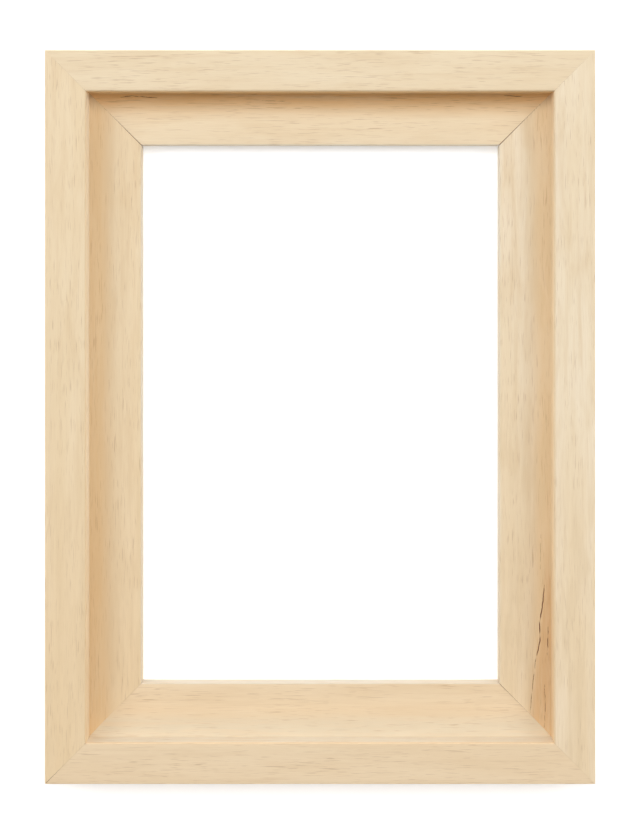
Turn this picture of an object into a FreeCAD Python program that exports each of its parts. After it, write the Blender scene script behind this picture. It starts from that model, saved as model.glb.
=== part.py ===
import FreeCAD, Part
import math
import os

# Bare wooden printing frame lying on its back: four rails of one moulding, mitred at the corners.
# Millimetres. +Z is up, from the flat back to the raised rim. The long side runs along Y.
# The origin is on the bench, under the middle of the window.

# Driving dimensions of the frame and its moulding
OUTER_WIDTH = 300.0
OUTER_LENGTH = 400.0
RIM_HEIGHT = 25.0
RIM_WIDTH = 22.5
COVE_RUN = 13.5
COVE_DROP = 3.5
LEDGE_FLAT = 15.0
LEDGE_THICKNESS = 9.0

# Eased edges of the moulding
OUTER_ARRIS = 0.6
WALL_ARRIS = 0.8
SIGHT_ARRIS = 0.5
BACK_ARRIS = 0.3

# Glue left in each mitre
GLUE_FILM = 0.1

# V-nails: folded steel strips pressed into the back of each corner, across the mitre
NAIL_STRIP = 0.5
NAIL_LEG = 5.0
NAIL_LIP = 1.4
NAIL_SET_DEPTH = 0.3
RIM_NAIL_HEIGHT = 15.0
LEDGE_NAIL_HEIGHT = 7.0

# Worked out from the driving dimensions
BAR_WIDTH = RIM_WIDTH + COVE_RUN + LEDGE_FLAT
COVE_RADIUS = (COVE_RUN ** 2 + COVE_DROP ** 2) / (2 * COVE_DROP)
# Distance from the outer faces to the point of each V
RIM_NAIL_PLACE = 0.65 * RIM_WIDTH
LEDGE_NAIL_PLACE = RIM_WIDTH + COVE_RUN
# How far a cutting block runs past the wood
CLEAR = 5.0

# Each side: its rail, the corner where that rail starts, its turn about Z, that corner's x and y, its length
SIDES = [
    ("left_rail", "front_left", 0, -OUTER_WIDTH / 2, -OUTER_LENGTH / 2, OUTER_LENGTH),
    ("front_rail", "front_right", 90, OUTER_WIDTH / 2, -OUTER_LENGTH / 2, OUTER_WIDTH),
    ("right_rail", "back_right", 180, OUTER_WIDTH / 2, OUTER_LENGTH / 2, OUTER_LENGTH),
    ("back_rail", "back_left", 270, -OUTER_WIDTH / 2, OUTER_LENGTH / 2, OUTER_WIDTH),
]


def vec(x, y, z=0.0):
    return FreeCAD.Vector(x, y, z)


def profile_arc(centre_x, centre_z, radius, start_deg, end_deg):
    """Arc in the profile plane, where x runs inward from the outer face and z runs up."""
    points = []
    for angle in (start_deg, 0.5 * (start_deg + end_deg), end_deg):
        turn = math.radians(angle)
        points.append(vec(centre_x + radius * math.cos(turn), 0, centre_z + radius * math.sin(turn)))
    return Part.Arc(*points)


def moulding_profile():
    """Cross-section of a rail: raised rim, upright wall, shallow cove and thin ledge."""
    cove_top_deg = 270 - math.degrees(math.asin(COVE_RUN / COVE_RADIUS))
    arcs = [
        profile_arc(BAR_WIDTH - BACK_ARRIS, BACK_ARRIS, BACK_ARRIS, 270, 360),
        profile_arc(BAR_WIDTH - SIGHT_ARRIS, LEDGE_THICKNESS - SIGHT_ARRIS, SIGHT_ARRIS, 0, 90),
        profile_arc(RIM_WIDTH + COVE_RUN, LEDGE_THICKNESS + COVE_RADIUS, COVE_RADIUS, 270, cove_top_deg),
        profile_arc(RIM_WIDTH - WALL_ARRIS, RIM_HEIGHT - WALL_ARRIS, WALL_ARRIS, 0, 90),
        profile_arc(OUTER_ARRIS, RIM_HEIGHT - OUTER_ARRIS, OUTER_ARRIS, 90, 180),
        profile_arc(BACK_ARRIS, BACK_ARRIS, BACK_ARRIS, 180, 270),
    ]
    edges = []
    for arc, follows in zip(arcs, arcs[1:] + arcs[:1]):
        edges.append(arc.toShape())
        edges.append(Part.LineSegment(arc.EndPoint, follows.StartPoint).toShape())
    return Part.Face(Part.Wire(edges))


def moulding_bar(length):
    """Uncut moulding along +Y, with its outer face on x = 0 and its back on z = 0."""
    return moulding_profile().extrude(vec(0, length, 0))


def plan_prism(outline, bottom, top):
    """Straight-sided block that stands on a flat outline of (x, y) points."""
    loop = [vec(x, y, bottom) for x, y in outline]
    return Part.Face(Part.makePolygon(loop + loop[:1])).extrude(vec(0, 0, top - bottom))


def turned(shape, degrees, x, y):
    """A copy turned about Z and then moved to x, y."""
    placed = shape.copy()
    placed.rotate(vec(0, 0), vec(0, 0, 1), degrees)
    placed.translate(vec(x, y))
    return placed


def nail(point, height, foot):
    """V-nail across the mitre of a corner whose outer point is 0, 0 and whose frame lies in +x, +y.

    The V points at the window, and a short lip turns outward at the end of each leg."""
    half = NAIL_STRIP / 2
    end = point - NAIL_LEG
    lip = NAIL_LIP / math.sqrt(2)
    skew = NAIL_STRIP / math.sqrt(2)
    one_leg = [
        (point + half, point + half),
        (end, point + half),
        (end - lip, point + half + lip),
        (end - lip - skew, point + half + lip - skew),
        (end + NAIL_STRIP - 2 * skew, point - half),
        (point - half, point - half),
    ]
    other_leg = [(y, x) for x, y in reversed(one_leg[1:-1])]
    return plan_prism(one_leg + other_leg, foot, foot + height)


def corner_nails(foot):
    """The nail under the rim and the nail under the ledge, standing at the given height."""
    sunk = NAIL_SET_DEPTH - foot
    return {
        "rim_v_nail": nail(RIM_NAIL_PLACE, RIM_NAIL_HEIGHT + sunk, foot),
        "ledge_v_nail": nail(LEDGE_NAIL_PLACE, LEDGE_NAIL_HEIGHT + sunk, foot),
    }


def nail_slots():
    """What the nails of one corner displace, open to the back face."""
    return list(corner_nails(0.0).values())


def rail(length):
    """One rail with a mitred end at each corner and a slot for its half of each nail."""
    film = GLUE_FILM / math.sqrt(2)
    reach = BAR_WIDTH + CLEAR
    outline = [
        (-CLEAR, film - CLEAR),
        (reach, film + reach),
        (reach, length - film - reach),
        (-CLEAR, length - film + CLEAR),
    ]
    solid = moulding_bar(length).common(plan_prism(outline, -CLEAR, RIM_HEIGHT + CLEAR))
    for slot in nail_slots():
        solid = solid.cut(slot)
        solid = solid.cut(turned(slot, 270, 0, length))
    return solid


def glue_line():
    """Film that fills the mitre of a corner, with its outer point at 0, 0 and the frame in +x, +y."""
    film = GLUE_FILM / math.sqrt(2)
    reach = BAR_WIDTH + CLEAR
    outline = [(0, 0), (reach, reach), (reach, reach + film), (0, film)]
    half = moulding_bar(2 * BAR_WIDTH).common(plan_prism(outline, -CLEAR, RIM_HEIGHT + CLEAR))
    film_solid = half.fuse(half.mirror(vec(0, 0), vec(1, -1)))
    for slot in nail_slots():
        film_solid = film_solid.cut(slot)
    return film_solid.removeSplitter()


def single_solid(shape):
    """The one solid that the shape holds."""
    assert len(shape.Solids) == 1 and shape.isValid(), "a piece has to be one valid solid"
    return shape.Solids[0]


def build():
    """Every piece of the frame by name, in its place."""
    pieces = {}
    for rail_name, corner, degrees, x, y, length in SIDES:
        pieces[rail_name] = turned(rail(length), degrees, x, y)
        pieces["glue_line_" + corner] = turned(glue_line(), degrees, x, y)
        for kind, shape in corner_nails(NAIL_SET_DEPTH).items():
            pieces[kind + "_" + corner] = turned(shape, degrees, x, y)
    return pieces


os.makedirs("parts", exist_ok=True)
for name, shape in build().items():
    solid = single_solid(shape)
    solid.exportStep("parts/" + name + ".step")
    print(name, "volume %.1f mm3" % solid.Volume)
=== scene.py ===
import math

import bmesh
import bpy
from mathutils import Matrix, Vector, noise


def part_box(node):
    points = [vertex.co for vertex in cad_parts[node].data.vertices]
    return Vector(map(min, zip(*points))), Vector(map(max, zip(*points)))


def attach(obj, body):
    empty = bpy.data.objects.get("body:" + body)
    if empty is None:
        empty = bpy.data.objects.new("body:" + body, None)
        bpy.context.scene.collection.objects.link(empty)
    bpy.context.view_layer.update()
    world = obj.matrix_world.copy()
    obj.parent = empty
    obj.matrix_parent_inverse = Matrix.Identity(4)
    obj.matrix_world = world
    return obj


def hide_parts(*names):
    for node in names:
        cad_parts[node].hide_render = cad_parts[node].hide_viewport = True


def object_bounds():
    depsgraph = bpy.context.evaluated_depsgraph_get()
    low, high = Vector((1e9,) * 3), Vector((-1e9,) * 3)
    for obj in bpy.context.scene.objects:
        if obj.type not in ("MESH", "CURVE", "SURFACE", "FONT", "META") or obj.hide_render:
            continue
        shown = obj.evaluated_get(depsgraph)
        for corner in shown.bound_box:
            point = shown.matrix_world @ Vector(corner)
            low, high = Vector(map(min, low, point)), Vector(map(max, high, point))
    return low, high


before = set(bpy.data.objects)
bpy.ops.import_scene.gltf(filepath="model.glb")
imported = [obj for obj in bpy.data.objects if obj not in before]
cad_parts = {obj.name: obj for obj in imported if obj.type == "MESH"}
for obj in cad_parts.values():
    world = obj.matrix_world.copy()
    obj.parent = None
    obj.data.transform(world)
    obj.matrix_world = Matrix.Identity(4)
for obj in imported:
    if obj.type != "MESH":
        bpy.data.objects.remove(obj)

LOADED_LOW, LOADED_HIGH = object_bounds()
MM = 0.001

# The frame's own sizes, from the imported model
HALF_WIDTH = LOADED_HIGH.x
HALF_LENGTH = LOADED_HIGH.y
RIM_TOP = LOADED_HIGH.z
BAR_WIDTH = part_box("left_rail")[1].x + HALF_WIDTH

# The moulding's section: u runs inward from the outer face, z up from the back
LEDGE_FLAT = 15.0 * MM
COVE_RUN = 13.5 * MM
COVE_DROP = 3.5 * MM
RIM_WIDTH = BAR_WIDTH - LEDGE_FLAT - COVE_RUN
LEDGE_TOP = 9.0 * MM
# Where the cove meets the wall
CREASE = LEDGE_TOP + COVE_DROP
COVE_RADIUS = (COVE_RUN ** 2 + COVE_DROP ** 2) / (2 * COVE_DROP)
OUTER_ARRIS = 0.6 * MM
WALL_ARRIS = 0.8 * MM
SIGHT_ARRIS = 0.5 * MM
BACK_ARRIS = 0.3 * MM

# V-nails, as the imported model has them
NAIL_STRIP = 0.5 * MM
NAIL_LEG = 5.0 * MM
NAIL_LIP = 1.4 * MM
NAIL_PLACES = {"rim_v_nail": 0.65 * RIM_WIDTH, "ledge_v_nail": RIM_WIDTH + COVE_RUN}

# Each side: rail, corner at its start, corner at its end, turn about Z, place of its start, length
SIDES = [
    ("left_rail", "front_left", "back_left", 0, (-HALF_WIDTH, -HALF_LENGTH), 2 * HALF_LENGTH),
    ("front_rail", "front_right", "front_left", 90, (HALF_WIDTH, -HALF_LENGTH), 2 * HALF_WIDTH),
    ("right_rail", "back_right", "front_right", 180, (HALF_WIDTH, HALF_LENGTH), 2 * HALF_LENGTH),
    ("back_rail", "back_left", "back_right", 270, (-HALF_WIDTH, HALF_LENGTH), 2 * HALF_WIDTH),
]

# How far each mitre stands open at the outer corner and at the window, from face to face
MITRE_OPEN = {
    "back_left": (0.04 * MM, 0.34 * MM),
    "back_right": (0.05 * MM, 0.42 * MM),
    "front_right": (0.05 * MM, 0.2 * MM),
    "front_left": (0.26 * MM, 0.05 * MM),
}
MITRE_TIGHT = 0.04 * MM
# Glue lies this far under the wood's surfaces and above the back
GLUE_SINK = 0.5 * MM
GLUE_FOOT = 0.2 * MM
# Just under half of the gap, on each side of its middle
GLUE_HALF_FILL = 0.49

# Slots are this much wider than the nails all round, and start below the back
NAIL_CLEARANCE = 0.02 * MM
SLOT_START = -1 * MM

# Worn edges: place in the section, how far round it the wear reaches, and how deep it goes
WORN_EDGES = [
    (RIM_WIDTH, RIM_TOP, 1.4 * MM, 0.12 * MM),
    (0.0, RIM_TOP, 1.2 * MM, 0.16 * MM),
    (BAR_WIDTH, LEDGE_TOP, 1.2 * MM, 0.14 * MM),
]
# Distance along the rail over which the wear changes slowly, and between its nicks
WEAR_LENGTH = 35 * MM
NICK_LENGTH = 6 * MM
# Share of the wear that each of the two meeting faces gives up
WEAR_SLANT = 0.7

# A crack's wander and jitter to the side, in millimetres, and how long each takes along the rail
CRACK_WANDER = 0.3
CRACK_WANDER_LENGTH = 5 * MM
CRACK_JITTER = 0.16
CRACK_JITTER_LENGTH = 1.8 * MM
# How open a crack stays where it nearly closes, how often that happens, and how bluntly it ends
CRACK_LEAST_OPEN = 0.35
CRACK_OPEN_LENGTH = 4 * MM
CRACK_TAPER = 0.4
# A crack this deep is fully dark
CRACK_DARK_DEPTH = 0.16 * MM

# How finely the outline is divided: steps round each edge, and spacing on the faces between them
BACK_STEPS = 4
EDGE_STEPS = 6
WALL_EDGE_STEPS = 10
GLUE_COVE_STEPS = 12
FACE_SPACING = 2.5 * MM
# Spacing along a rail and steps across its cove, without and with cracks
PLAIN_MESH = (2.0 * MM, 24)
CRACKED_MESH = (0.8 * MM, 90)
# Points closer than this are one
SAME_POINT = 0.01 * MM
# Faces that meet at more than this keep a sharp edge
SHARP_DEG = 28


# ---------------------------------------------------------------- geometry

def smooth_step(low, high, x):
    t = min(max((x - low) / (high - low), 0.0), 1.0)
    return t * t * (3 - 2 * t)


def arc(centre_u, centre_z, radius, start_deg, end_deg, steps):
    points = []
    for i in range(steps + 1):
        a = math.radians(start_deg + (end_deg - start_deg) * i / steps)
        points.append((centre_u + radius * math.cos(a), centre_z + radius * math.sin(a)))
    return points


def run(start, end, spacing):
    """Points strictly between two corners, about the given distance apart."""
    count = max(1, round(math.dist(start, end) / spacing))
    return [(start[0] + (end[0] - start[0]) * i / count, start[1] + (end[1] - start[1]) * i / count)
            for i in range(1, count)]


def section(cove_steps):
    """The moulding's outline as a closed loop of (u, z), from the sight edge round by the rim."""
    cove_top_deg = 270 - math.degrees(math.asin(COVE_RUN / COVE_RADIUS))
    corners = [
        arc(BAR_WIDTH - BACK_ARRIS, BACK_ARRIS, BACK_ARRIS, 270, 360, BACK_STEPS),
        arc(BAR_WIDTH - SIGHT_ARRIS, LEDGE_TOP - SIGHT_ARRIS, SIGHT_ARRIS, 0, 90, EDGE_STEPS),
        arc(RIM_WIDTH + COVE_RUN, LEDGE_TOP + COVE_RADIUS, COVE_RADIUS, 270, cove_top_deg, cove_steps),
        arc(RIM_WIDTH - WALL_ARRIS, RIM_TOP - WALL_ARRIS, WALL_ARRIS, 0, 90, WALL_EDGE_STEPS),
        arc(OUTER_ARRIS, RIM_TOP - OUTER_ARRIS, OUTER_ARRIS, 90, 180, EDGE_STEPS),
        arc(BACK_ARRIS, BACK_ARRIS, BACK_ARRIS, 180, 270, BACK_STEPS),
    ]
    loop = []
    for part, follows in zip(corners, corners[1:] + corners[:1]):
        loop += part + run(part[-1], follows[0], FACE_SPACING)
    return loop


def arris_wear(u, z, v, seed):
    """How far handling and sanding have taken an edge back, where it isn't the nominal round."""
    taken = 0.0
    for edge_u, edge_z, reach, depth in WORN_EDGES:
        near = 1 - smooth_step(0.0, reach, math.dist((u, z), (edge_u, edge_z)))
        if near > 0:
            wander = noise.noise(Vector((v / WEAR_LENGTH, seed, edge_u / MM)))
            nick = noise.noise(Vector((v / NICK_LENGTH, seed + 9, edge_u / MM)))
            taken += near * depth * (0.5 + 0.5 * wander + 0.25 * nick)
    return taken


def away_from(spot, start, end):
    """Distance from a spot to a straight stretch."""
    stretch = end - start
    along = min(max((spot - start).dot(stretch) / stretch.length_squared, 0.0), 1.0)
    return (spot - start - along * stretch).length


def crack_depth(cracks, u, v):
    """Depth of the deepest crack at a point.

    A crack wanders, nearly closes in places and tapers at its ends."""
    depth = 0.0
    for seed, (half_width, deep, route) in enumerate(cracks):
        first, last = route[0][0] * MM, route[-1][0] * MM
        if not first < v < last:
            continue
        wander = CRACK_WANDER * noise.noise(Vector((v / CRACK_WANDER_LENGTH, seed, 0)))
        wander += CRACK_JITTER * noise.noise(Vector((v / CRACK_JITTER_LENGTH, seed, 5)))
        spot = Vector((v, u + wander * MM))
        points = [Vector(point) * MM for point in route]
        away = min(away_from(spot, start, end) for start, end in zip(points, points[1:]))
        taper = math.sin(math.pi * (v - first) / (last - first)) ** CRACK_TAPER
        opening = smooth_step(-0.35, 0.1, noise.noise(Vector((v / CRACK_OPEN_LENGTH, seed, 9))))
        open_here = CRACK_LEAST_OPEN + (1 - CRACK_LEAST_OPEN) * opening
        reach = half_width * taper * open_here
        depth = max(depth, deep * open_here * max(0.0, 1 - away / reach))
    return depth


def stain_cracks(made, matrix, cracks):
    """Stores how dark each point is: a crack gets darker as it gets deeper."""
    to_rail = matrix.inverted()
    shade = made.data.attributes.new("crack", "FLOAT", "POINT")
    for vertex, value in zip(made.data.vertices, shade.data):
        spot = to_rail @ vertex.co
        if spot.z > 0.5 * LEDGE_TOP and spot.x > RIM_WIDTH:
            value.value = min(1.0, crack_depth(cracks, spot.x, spot.y) / CRACK_DARK_DEPTH)


def mitre_gap(corner, u):
    """Half the distance between the two mitre faces, measured along the rail."""
    outer_open, inner_open = MITRE_OPEN[corner]
    near_window = smooth_step(RIM_WIDTH + 3 * MM, BAR_WIDTH, u)
    near_corner = 1 - smooth_step(0.0, 0.5 * RIM_WIDTH, u)
    gap = MITRE_TIGHT + (inner_open - MITRE_TIGHT) * near_window + (outer_open - MITRE_TIGHT) * near_corner
    return 0.5 * gap * math.sqrt(2)


def new_object(name, vertices, faces):
    mesh = bpy.data.meshes.new(name)
    mesh.from_pydata(vertices, [], faces)
    mesh.validate()
    mesh.update()
    made = bpy.data.objects.new(name, mesh)
    bpy.context.scene.collection.objects.link(made)
    return made


def smooth_but_for_sharp_edges(made):
    made.data.shade_smooth()
    made.data.set_sharp_from_angle(angle=math.radians(SHARP_DEG))


def loft(name, rings):
    """Closed solid through rings of the same number of points, capped at both ends."""
    count = len(rings[0])
    vertices = [p for ring in rings for p in ring]
    faces = []
    for i in range(len(rings) - 1):
        for j in range(count):
            k = (j + 1) % count
            faces.append((i * count + j, i * count + k, (i + 1) * count + k, (i + 1) * count + j))
    faces.append(tuple(reversed(range(count))))
    faces.append(tuple(range((len(rings) - 1) * count, len(rings) * count)))
    made = new_object(name, vertices, faces)
    shell = bmesh.new()
    shell.from_mesh(made.data)
    bmesh.ops.recalc_face_normals(shell, faces=shell.faces)
    shell.to_mesh(made.data)
    shell.free()
    return made


def side_matrix(degrees, place):
    return Matrix.Translation((*place, 0)) @ Matrix.Rotation(math.radians(degrees), 4, "Z")


def nail_outline(point, grow):
    """Plan of a V-nail in a corner whose outer point is 0, 0 and whose frame lies in +x, +y."""
    half = NAIL_STRIP / 2 + grow
    end = point - NAIL_LEG
    lip = NAIL_LIP / math.sqrt(2)
    skew = 2 * half / math.sqrt(2)
    one_leg = [
        (point + half, point + half),
        (end, point + half),
        (end - lip, point + half + lip),
        (end - lip - skew, point + half + lip - skew),
        (end + 2 * half - 2 * skew, point - half),
        (point - half, point - half),
    ]
    return one_leg + [(y, x) for x, y in reversed(one_leg[1:-1])]


def cut(made, cutter):
    """Takes the cutter out of the piece and removes the cutter."""
    hollow = made.modifiers.new("slots", "BOOLEAN")
    hollow.operation = "DIFFERENCE"
    hollow.solver = "EXACT"
    hollow.object = cutter
    bpy.context.view_layer.update()
    done = bpy.data.meshes.new_from_object(made.evaluated_get(bpy.context.evaluated_depsgraph_get()))
    made.modifiers.clear()
    made.data = done
    bpy.data.objects.remove(cutter)


def nail_slot(kind, corner, matrix):
    """Cutter for one nail's slot, open to the back and a hair wider than the nail."""
    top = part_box(kind + "_" + corner)[1].z + NAIL_CLEARANCE
    outline = nail_outline(NAIL_PLACES[kind], NAIL_CLEARANCE)
    rings = [[matrix @ Vector((x, y, z)) for x, y in outline] for z in (SLOT_START, top)]
    return loft("slot", rings)


def worn_spot(u, v, z, cracks, seed):
    """Where a point of the moulding lies once its edges are worn and its cove is cracked."""
    taken = arris_wear(u, z, v, seed)
    inward = 1 if u < 0.5 * RIM_WIDTH else -1
    on_face = RIM_WIDTH < u < BAR_WIDTH and z > 0.5 * LEDGE_TOP
    split = crack_depth(cracks, u, v) if on_face else 0.0
    return Vector((u + inward * taken * WEAR_SLANT, v, z - taken * WEAR_SLANT - split))


def rail(name, start, end, degrees, place, length, cracks, seed):
    """One moulded rail with worn edges, surface cracks, open mitres and slots for the nails."""
    spacing, cove_steps = CRACKED_MESH if cracks else PLAIN_MESH
    outline = section(cove_steps)
    matrix = side_matrix(degrees, place)
    stations = round(length / spacing)
    rings = []
    for i in range(stations + 1):
        ring = []
        for u, z in outline:
            first = u + mitre_gap(start, u)
            last = length - u - mitre_gap(end, u)
            v = first + (last - first) * i / stations
            ring.append(matrix @ worn_spot(u, v, z, cracks, seed))
        rings.append(ring)
    made = loft(name, rings)
    for corner, turn, at in ((start, 0, 0.0), (end, 270, length)):
        corner_matrix = matrix @ side_matrix(turn, (0.0, at))
        for kind in NAIL_PLACES:
            cut(made, nail_slot(kind, corner, corner_matrix))
    stain_cracks(made, matrix, cracks)
    smooth_but_for_sharp_edges(made)
    return made


def sunk_section():
    """The moulding's outline drawn in a little on every side but the back, with each point kept once."""
    sunk = []
    for u, z in section(GLUE_COVE_STEPS):
        low_u = min(max(u, GLUE_SINK), BAR_WIDTH - GLUE_SINK)
        low_z = max(z - GLUE_SINK, GLUE_FOOT)
        if not sunk or math.dist(sunk[-1], (low_u, low_z)) > SAME_POINT:
            sunk.append((low_u, low_z))
    if math.dist(sunk[0], sunk[-1]) <= SAME_POINT:
        sunk.pop()
    return sunk


def glue_line(corner, degrees, place):
    """Dried glue down in the mitre, a little below the surfaces of the wood, with slots for the nails."""
    matrix = side_matrix(degrees, place)
    outline = sunk_section()
    rings = []
    for side in (-1, 1):
        ring = []
        for u, z in outline:
            off = side * mitre_gap(corner, u) * GLUE_HALF_FILL
            ring.append(matrix @ Vector((u - off, u + off, z)))
        rings.append(ring)
    made = loft("glue_in_" + corner, rings)
    for kind in NAIL_PLACES:
        cut(made, nail_slot(kind, corner, matrix))
    return made


# ---------------------------------------------------------------- materials

# Layers of the grain: width across the rail, length along it, offset, detail, roughness, distortion
GRAIN = {
    "broad": (14 * MM, 160 * MM, 0, 3.0, 0.55, 0.5),
    "blotch": (8 * MM, 45 * MM, 2, 3.0, 0.6, 0.4),
    "bands": (2.6 * MM, 70 * MM, 3, 3.0, 0.6, 0.3),
    "fibre": (0.32 * MM, 12 * MM, 5, 2.0, 0.6, 0.0),
    "pores": (0.38 * MM, 11 * MM, 7, 1.0, 0.5, 0.0),
    "clusters": (7 * MM, 60 * MM, 9, 2.0, 0.5, 0.0),
}
# Depth of the grain against its width, and how each layer's offset moves it along the three axes
GRAIN_DEPTH = 1.4
LAYER_STEP = (1.0, 1.7, 0.6)
# Offset between one rail's grain and the next rail's
RAIL_OFFSET = 13.7

# How strongly each layer darkens the wood
BAND_CONTRAST = 0.42
FIBRE_CONTRAST = 0.2
PORE_CONTRAST = 0.38
CRACK_CONTRAST = 0.95
# Strength of the painted shade on the rim's inner edge
EDGE_PAINTED_SHADE = 0.7
# Relief of the fibre and pores
BUMP_STRENGTH = 0.35
BUMP_DEPTH = 0.06 * MM
FIBRE_RELIEF = 0.35
# Heights between which the cove's painted shade gives way to the wall's painted tone
CREASE_FADE = (CREASE - 0.3 * MM, CREASE + 0.8 * MM)


class Shading:
    """Small helper that adds and links shader nodes of one material."""

    def __init__(self, name):
        self.material = bpy.data.materials.new(name)
        self.material.use_nodes = True
        self.tree = self.material.node_tree
        self.tree.nodes.clear()
        self.shader = self.add("ShaderNodeBsdfPrincipled")
        output = self.add("ShaderNodeOutputMaterial")
        self.tree.links.new(self.shader.outputs[0], output.inputs["Surface"])

    def add(self, kind, **settings):
        made = self.tree.nodes.new(kind)
        for key, value in settings.items():
            setattr(made, key, value)
        return made

    def put(self, socket, value):
        """Links a socket, or sets a plain value."""
        if isinstance(value, bpy.types.NodeSocket):
            self.tree.links.new(value, socket)
        else:
            socket.default_value = value

    def math(self, operation, a, b=0.0):
        made = self.add("ShaderNodeMath", operation=operation)
        self.put(made.inputs[0], a)
        self.put(made.inputs[1], b)
        return made.outputs[0]

    def rail_space(self, degrees, place):
        """The rail's own u, v and z: across it from the outer face, along it, and up."""
        turn = Matrix.Rotation(math.radians(-degrees), 4, "Z")
        mapping = self.add("ShaderNodeMapping")
        self.put(mapping.inputs["Vector"], self.add("ShaderNodeTexCoord").outputs["Object"])
        mapping.inputs["Rotation"].default_value = (0, 0, math.radians(-degrees))
        mapping.inputs["Location"].default_value = -(turn @ Vector((*place, 0)))
        return mapping.outputs[0]

    def stretched(self, space, across, along, offset):
        """Rail space counted in grain widths and grain lengths."""
        mapping = self.add("ShaderNodeMapping")
        self.put(mapping.inputs["Vector"], space)
        mapping.inputs["Scale"].default_value = (1 / across, 1 / along, 1 / (GRAIN_DEPTH * across))
        mapping.inputs["Location"].default_value = [offset * step for step in LAYER_STEP]
        return mapping.outputs[0]

    def noise(self, vector, detail, roughness, distortion=0.0):
        made = self.add("ShaderNodeTexNoise")
        self.put(made.inputs["Vector"], vector)
        made.inputs["Scale"].default_value = 1.0
        made.inputs["Detail"].default_value = detail
        made.inputs["Roughness"].default_value = roughness
        made.inputs["Distortion"].default_value = distortion
        return made.outputs["Fac"]

    def grain(self, space, layer, offset):
        """One layer of the wood's grain, as the GRAIN table gives it."""
        across, along, own_offset, detail, roughness, distortion = GRAIN[layer]
        place = self.stretched(space, across, along, offset + own_offset)
        return self.noise(place, detail, roughness, distortion)

    def speckle(self, scale):
        """Fine noise over the whole piece."""
        mapping = self.add("ShaderNodeMapping")
        self.put(mapping.inputs["Vector"], self.add("ShaderNodeTexCoord").outputs["Object"])
        mapping.inputs["Scale"].default_value = scale
        return self.noise(mapping.outputs[0], 3.0, 0.6)

    def window(self, value, low, high, to_low=0.0, to_high=1.0):
        """Maps low..high to to_low..to_high, clamped and smooth."""
        made = self.add("ShaderNodeMapRange", interpolation_type="SMOOTHSTEP")
        self.put(made.inputs["Value"], value)
        for key, number in (("From Min", low), ("From Max", high), ("To Min", to_low), ("To Max", to_high)):
            self.put(made.inputs[key], number)
        return made.outputs["Result"]

    def blend(self, factor, a, b, mode="MIX"):
        made = self.add("ShaderNodeMix", data_type="RGBA", blend_type=mode)
        self.put(made.inputs["Factor"], factor)
        self.put(made.inputs[6], a)
        self.put(made.inputs[7], b)
        return made.outputs[2]


def colour(red, green, blue):
    """Linear colour from the usual 0 to 255 screen values."""
    def linear(value):
        value /= 255
        return value / 12.92 if value <= 0.04045 else ((value + 0.055) / 1.055) ** 2.4
    return (linear(red), linear(green), linear(blue), 1.0)


def cove_mask(s, u, z, fade_start):
    """1 by the wall, fading out to 0 where the ledge runs flat; nothing on the rim or the back. It places the
    cove's painted shade.
    """
    near = s.window(u, fade_start, RIM_WIDTH + COVE_RUN + 2 * MM, 1.0, 0.0)
    inside = s.window(u, RIM_WIDTH - 0.6 * MM, RIM_WIDTH)
    below_wall = s.window(z, *CREASE_FADE, 1.0, 0.0)
    above_back = s.window(z, 0.5 * LEDGE_TOP, 0.8 * LEDGE_TOP)
    return s.math("MULTIPLY", s.math("MULTIPLY", near, inside), s.math("MULTIPLY", below_wall, above_back))


def wall_light_and_shade_mask(s, u, z):
    """1 on the upright wall, whose painted tone is set apart from the rim's: painted light, and painted shadow
    on the back rail.
    """
    at_wall = s.window(u, RIM_WIDTH - 0.9 * MM, RIM_WIDTH - 0.2 * MM)
    before_cove = s.window(u, RIM_WIDTH + 0.2 * MM, RIM_WIDTH + 0.9 * MM, 1.0, 0.0)
    above_cove = s.window(z, *CREASE_FADE)
    below_arris = s.window(z, RIM_TOP - 3 * MM, RIM_TOP - WALL_ARRIS, 1.0, 0.0)
    upright = s.math("MULTIPLY", at_wall, before_cove)
    return s.math("MULTIPLY", upright, s.math("MULTIPLY", above_cove, below_arris))


def inner_edge_shade_mask(s, u, z):
    """1 on the rim's rounded inner edge. Its darker tone is painted shade, which only takes down a bright line
    in the main view.
    """
    across = s.window(u, RIM_WIDTH - 1.2 * MM, RIM_WIDTH - 0.4 * MM)
    return s.math("MULTIPLY", across, s.window(z, RIM_TOP - 1.2 * MM, RIM_TOP - 0.4 * MM))


def sight_edge_light_mask(s, u):
    """1 on the sawn edge round the window, which is painted a pale light."""
    return s.window(u, BAR_WIDTH - 0.7 * MM, BAR_WIDTH - 0.15 * MM)


def streak_mask(s, u, v, mask, rag):
    """Wedge of stained wood in the cove, which widens along the rail towards the mitre."""
    edge = s.window(v, STREAK_START, STREAK_END, RIM_WIDTH + 3 * MM, RIM_WIDTH + 12 * MM)
    ragged = s.window(rag, 0.3, 0.7, -1.6 * MM, 1.6 * MM)
    inside = s.window(s.math("SUBTRACT", s.math("ADD", edge, ragged), u), -1.4 * MM, 1.8 * MM)
    begun = s.window(v, STREAK_START - 20 * MM, STREAK_START + 30 * MM)
    return s.math("MULTIPLY", s.math("MULTIPLY", inside, begun), mask)


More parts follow.
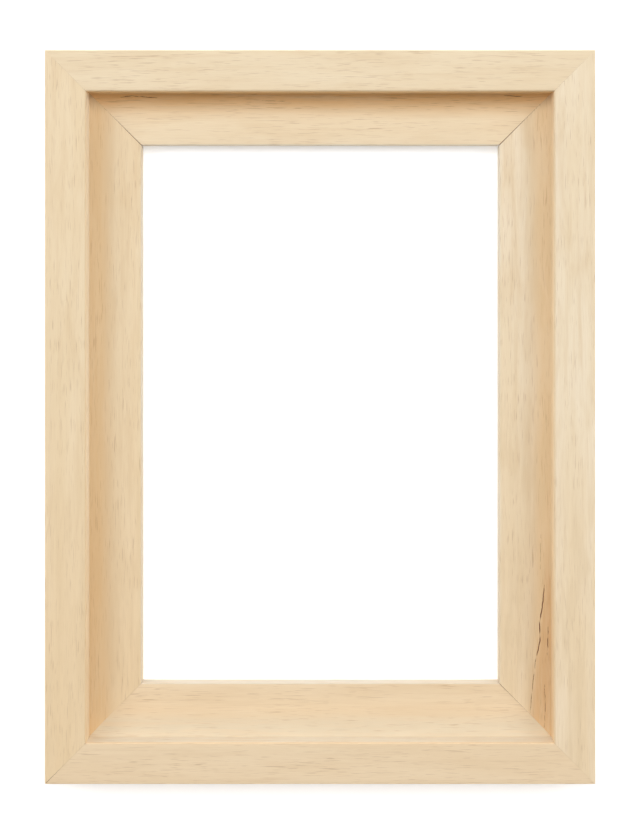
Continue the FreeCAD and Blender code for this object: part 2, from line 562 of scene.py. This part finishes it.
def tone_by_place(s, spot, grain, cove, look):
    """The wood's colour on the rim and ledge, with painted shade in the cove and on the rim's inner edge,
    painted light on the walls (painted shadow on the back rail's wall) and painted pale light on the window's
    edge, before its fine grain.
    """
    u, v, z = spot
    tone = s.blend(s.window(grain["broad"], 0.3, 0.7), colour(*look["base"]), colour(*look["light"]))
    # Painted shade in the cove, darker by the wall and uneven along the rail
    uneven_cove_shade = s.math("MULTIPLY", cove, s.window(grain["blotch"], 0.3, 0.7, 0.72, 1.0))
    tone = s.blend(uneven_cove_shade, tone, colour(*look["cove"]))
    # Painted light on the wall, painted shadow on the back rail's wall
    tone = s.blend(wall_light_and_shade_mask(s, u, z), tone, colour(*look["wall"]))
    # Painted shade on the rim's inner edge
    tone = s.blend(s.math("MULTIPLY", inner_edge_shade_mask(s, u, z), EDGE_PAINTED_SHADE), tone, colour(*look["deep"]))
    # Painted pale light on the window's edge
    tone = s.blend(sight_edge_light_mask(s, u), tone, colour(*SIGHT_EDGE_PAINTED_LIGHT))
    if look["warm_end"] is not None:
        from_end = s.math("ABSOLUTE", s.math("SUBTRACT", v, look["warm_end"]))
        tone = s.blend(s.window(from_end, 0.0, WARM_REACH, 1.0, 0.0), tone, WARM_TINT, "MULTIPLY")
    if look["streak"]:
        wedge = streak_mask(s, u, v, cove, grain["bands"])
        uneven = s.window(grain["blotch"], 0.25, 0.6, 0.55, 1.0)
        tone = s.blend(s.math("MULTIPLY", wedge, uneven), tone, colour(*STREAK_COLOUR))
    return tone


def with_grain(s, tone, grain, pores, cove, look):
    """Adds blotches, soft bands, fibre, pores and the dark of the cracks to a tone."""
    deep = colour(*look["deep"])
    tone = s.blend(s.window(grain["blotch"], 0.4, 0.75, 0.0, look["blotch"]), tone, deep)
    tone = s.blend(s.window(grain["bands"], 0.45, 0.75, 0.0, BAND_CONTRAST), tone, deep)
    tone = s.blend(s.window(grain["fibre"], 0.3, 0.7, 0.0, FIBRE_CONTRAST), tone, deep)
    dark = s.math("MULTIPLY", pores, s.window(cove, 0.0, 1.0, PORE_CONTRAST, look["cove_pores"]))
    tone = s.blend(dark, tone, colour(*PORE_COLOUR))
    crack = s.add("ShaderNodeAttribute", attribute_name="crack").outputs["Fac"]
    return s.blend(s.math("MULTIPLY", crack, CRACK_CONTRAST), tone, colour(*CRACK_COLOUR))


def give_wood_sheen(s, fibre, pores):
    """Matt sheen that varies with the fibre, and the low relief of fibre and pores."""
    s.put(s.shader.inputs["Roughness"], s.window(fibre, 0.2, 0.8, 0.56, 0.7))
    s.shader.inputs["Specular IOR Level"].default_value = 0.28
    bump = s.add("ShaderNodeBump")
    bump.inputs["Strength"].default_value = BUMP_STRENGTH
    bump.inputs["Distance"].default_value = BUMP_DEPTH
    s.put(bump.inputs["Height"], s.math("SUBTRACT", s.math("MULTIPLY", fibre, FIBRE_RELIEF), pores))
    s.put(s.shader.inputs["Normal"], bump.outputs[0])


def wood(name, degrees, place, look):
    """Pale close-grained hardwood: soft bands along the rail, fine fibre and long thin pores."""
    s = Shading(name)
    space = s.rail_space(degrees, place)
    parts = s.add("ShaderNodeSeparateXYZ")
    s.put(parts.inputs[0], space)
    u, v, z = parts.outputs
    grain = {layer: s.grain(space, layer, RAIL_OFFSET * look["seed"]) for layer in GRAIN}
    clustered = s.window(grain["clusters"], 0.3, 0.65, 0.2, 1.0)
    pores = s.math("MULTIPLY", s.window(grain["pores"], 0.6, 0.72), clustered)
    cove = cove_mask(s, u, z, look["cove_shade_fade_start"])
    tone = tone_by_place(s, (u, v, z), grain, cove, look)
    s.put(s.shader.inputs["Base Color"], with_grain(s, tone, grain, pores, cove, look))
    give_wood_sheen(s, grain["fibre"], pores)
    return s.material


def dried_glue():
    s = Shading("dried_glue")
    speckle = s.window(s.speckle((600, 600, 600)), 0.35, 0.65)
    s.put(s.shader.inputs["Base Color"], s.blend(speckle, colour(110, 66, 34), colour(144, 92, 52)))
    s.shader.inputs["Roughness"].default_value = 0.6
    return s.material


def nail_steel():
    s = Shading("nail_steel")
    scratch = s.speckle((900, 900, 2500))
    tone = s.blend(s.window(scratch, 0.3, 0.7), colour(150, 152, 156), colour(196, 198, 200))
    s.put(s.shader.inputs["Base Color"], tone)
    s.put(s.shader.inputs["Roughness"], s.window(scratch, 0.3, 0.7, 0.28, 0.45))
    s.shader.inputs["Metallic"].default_value = 1.0
    return s.material


# ---------------------------------------------------------------- pieces

# Screen colours of each rail: the wood's usual, lightest and deepest tone, then the painted tones of its cove
# and wall.
# The cove and wall tones were tuned against the photograph under the lights below. The cove tone is painted
# shade by the wall, and painted shadow under the rim on the back rail; the back rail's wall tone is painted
# shadow too, the other walls' tones are painted light.
# The side rails get slowly warmer towards their front ends, and that was tuned in the same way.
RAIL_LOOKS = {
    "back_rail": dict(
        seed=1, base=(237, 216, 182), light=(241, 223, 192), deep=(226, 200, 162),
        cove=(243, 183, 104), cove_shade_fade_start=RIM_WIDTH, wall=(232, 192, 134),
        cove_pores=0.6, blotch=0.3, streak=False, warm_end=None),
    "front_rail": dict(
        seed=2, base=(238, 213, 177), light=(241, 218, 184), deep=(228, 200, 162),
        cove=(213, 200, 175), cove_shade_fade_start=RIM_WIDTH + 4 * MM, wall=(234, 224, 205),
        cove_pores=0.3, blotch=0.3, streak=False, warm_end=None),
    "left_rail": dict(
        seed=3, base=(238, 216, 180), light=(242, 222, 189), deep=(227, 200, 160),
        cove=(219, 184, 136), cove_shade_fade_start=RIM_WIDTH + 4 * MM, wall=(248, 233, 207),
        cove_pores=0.4, blotch=0.45, streak=False, warm_end=0.0),
    "right_rail": dict(
        seed=4, base=(240, 221, 189), light=(246, 231, 206), deep=(225, 200, 162),
        cove=(225, 193, 148), cove_shade_fade_start=RIM_WIDTH + 4 * MM, wall=(241, 218, 183),
        cove_pores=0.4, blotch=0.55, streak=True, warm_end=2 * HALF_LENGTH),
}
PORE_COLOUR = (170, 126, 86)
CRACK_COLOUR = (104, 36, 8)
# How much of the red, green and blue is left at a rail's warm end, and how far that end reaches
WARM_TINT = (0.985, 0.93, 0.86, 1.0)
WARM_REACH = 270 * MM
# Painted pale light of the bright floor on the window's edge
SIGHT_EDGE_PAINTED_LIGHT = (222, 213, 197)
STREAK_COLOUR = (214, 170, 120)
STREAK_START = 278 * MM
STREAK_END = 373 * MM

# Surface cracks in the coves: half width, depth, and the route as (v, u) points in millimetres
RAIL_CRACKS = {
    "right_rail": [
        (0.14 * MM, 0.15 * MM, [(266, 28), (287, 28.3)]),
        (0.32 * MM, 0.5 * MM, [(294, 26), (307, 27.3), (315, 28.6), (326, 28.4), (337, 31)]),
        (0.16 * MM, 0.3 * MM, [(334, 30.4), (348, 32.2), (366, 33.8)]),
        (0.2 * MM, 0.4 * MM, [(317, 24), (333, 24.6)]),
        (0.15 * MM, 0.25 * MM, [(349, 26), (359, 25.6), (373, 26)]),
    ],
    "back_rail": [
        (0.2 * MM, 0.35 * MM, [(40, 24.6), (46, 23.8), (50, 24.4)]),
        (0.22 * MM, 0.4 * MM, [(49, 24.2), (60, 24.9)]),
        (0.2 * MM, 0.35 * MM, [(251, 23.6), (262, 24.2)]),
        (0.14 * MM, 0.2 * MM, [(118, 26.4), (131, 26.8)]),
    ],
}


def build_rails():
    for name, start, end, degrees, place, length in SIDES:
        look = RAIL_LOOKS[name]
        cracks = RAIL_CRACKS.get(name, [])
        made = rail(name + "_shaped", start, end, degrees, place, length, cracks, look["seed"])
        made.data.materials.clear()
        made.data.materials.append(wood(name + "_wood", degrees, place, look))
        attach(made, "root")
        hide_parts(name)


def build_glue():
    glue = dried_glue()
    for _, corner, _, degrees, place, _ in SIDES:
        made = glue_line(corner, degrees, place)
        made.data.materials.append(glue)
        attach(made, "root")
        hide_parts("glue_line_" + corner)


def finish_nails():
    steel = nail_steel()
    for name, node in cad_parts.items():
        if "v_nail" in name:
            node.data.materials.clear()
            node.data.materials.append(steel)


# ---------------------------------------------------------------- stage

STAGE_HALF = 4.0
BACKDROP_HEIGHT = 0.7
# The floor lies this far under the frame
FLOOR_GAP = 0.1 * MM
FLOOR_GLOW = 0.4
BACKDROP_GLOW = 0.9
WORLD_LIGHT = 0.21
# Studio panels: place, width, height, power
PANELS = {
    "key": ((0.0, 1.5, 3.6), 3.2, 2.2, 68),
    "side_left": ((-2.9, 1.2, 2.4), 1.8, 1.8, 50),
    "side_right": ((2.9, 1.2, 2.4), 1.8, 1.8, 50),
}

# Point of the frame that the camera stands over, and its height above the rim
CAMERA_FOOT = Vector((7.4, 91.0, 0)) * MM
CAMERA_HEIGHT = 926 * MM
# Where the frame's middle lies, seen from the middle of the picture
OFF_MIDDLE = Vector((-0.5, 0.75, 0)) * MM
# What the picture's long side spans at the level of the rim
VIEW_LONG_SIDE = 455.76 * MM


def pale_sheet(name, glow):
    """Matt white paper that glows, so that it stays pale where the lights don't reach."""
    s = Shading(name)
    s.shader.inputs["Base Color"].default_value = (0.9, 0.9, 0.9, 1)
    s.shader.inputs["Roughness"].default_value = 0.9
    s.shader.inputs["Specular IOR Level"].default_value = 0.1
    s.shader.inputs["Emission Color"].default_value = (1, 1, 1, 1)
    s.shader.inputs["Emission Strength"].default_value = glow
    return s.material


def build_stage():
    """Square floor, with a low backdrop round its edge."""
    low = LOADED_LOW.z - FLOOR_GAP
    corners = [(x * STAGE_HALF, y * STAGE_HALF) for x, y in ((-1, -1), (1, -1), (1, 1), (-1, 1))]
    floor = new_object("floor", [(x, y, low) for x, y in corners], [(0, 1, 2, 3)])
    floor.data.materials.append(pale_sheet("pale_floor", FLOOR_GLOW))
    backdrop = new_object("backdrop", [(x, y, z) for z in (low, low + BACKDROP_HEIGHT) for x, y in corners],
                          [(i, (i + 1) % 4, (i + 1) % 4 + 4, i + 4) for i in range(4)])
    backdrop.data.materials.append(pale_sheet("pale_backdrop", BACKDROP_GLOW))


def soft_panel(name, place, width, height, energy):
    """Rectangular studio panel that faces the object."""
    panel = bpy.data.lights.new(name, "AREA")
    panel.shape = "RECTANGLE"
    panel.size = width
    panel.size_y = height
    panel.energy = energy
    made = bpy.data.objects.new(name, panel)
    made.location = place
    made.rotation_euler = (-Vector(place)).to_track_quat("-Z", "Y").to_euler()
    bpy.context.scene.collection.objects.link(made)


def build_lights():
    world = bpy.data.worlds.new("studio")
    world.use_nodes = True
    world.node_tree.nodes["Background"].inputs["Color"].default_value = (1.0, 1.0, 1.0, 1)
    world.node_tree.nodes["Background"].inputs["Strength"].default_value = WORLD_LIGHT
    bpy.context.scene.world = world
    for name, (place, width, height, energy) in PANELS.items():
        soft_panel(name, place, width, height, energy)


def build_camera():
    """Looks straight down from above the frame's upper part; the shift keeps the frame in the picture."""
    camera = bpy.data.cameras.new("camera")
    camera.sensor_width = 36.0
    camera.lens = camera.sensor_width * CAMERA_HEIGHT / VIEW_LONG_SIDE
    camera.shift_x = -(CAMERA_FOOT.x + OFF_MIDDLE.x) / VIEW_LONG_SIDE
    camera.shift_y = -(CAMERA_FOOT.y + OFF_MIDDLE.y) / VIEW_LONG_SIDE
    made = bpy.data.objects.new("camera", camera)
    made.location = (CAMERA_FOOT.x, CAMERA_FOOT.y, RIM_TOP + CAMERA_HEIGHT)
    bpy.context.scene.collection.objects.link(made)
    bpy.context.scene.camera = made


bpy.context.scene.view_settings.view_transform = "Standard"
build_rails()
build_glue()
finish_nails()
build_stage()
build_lights()
build_camera()
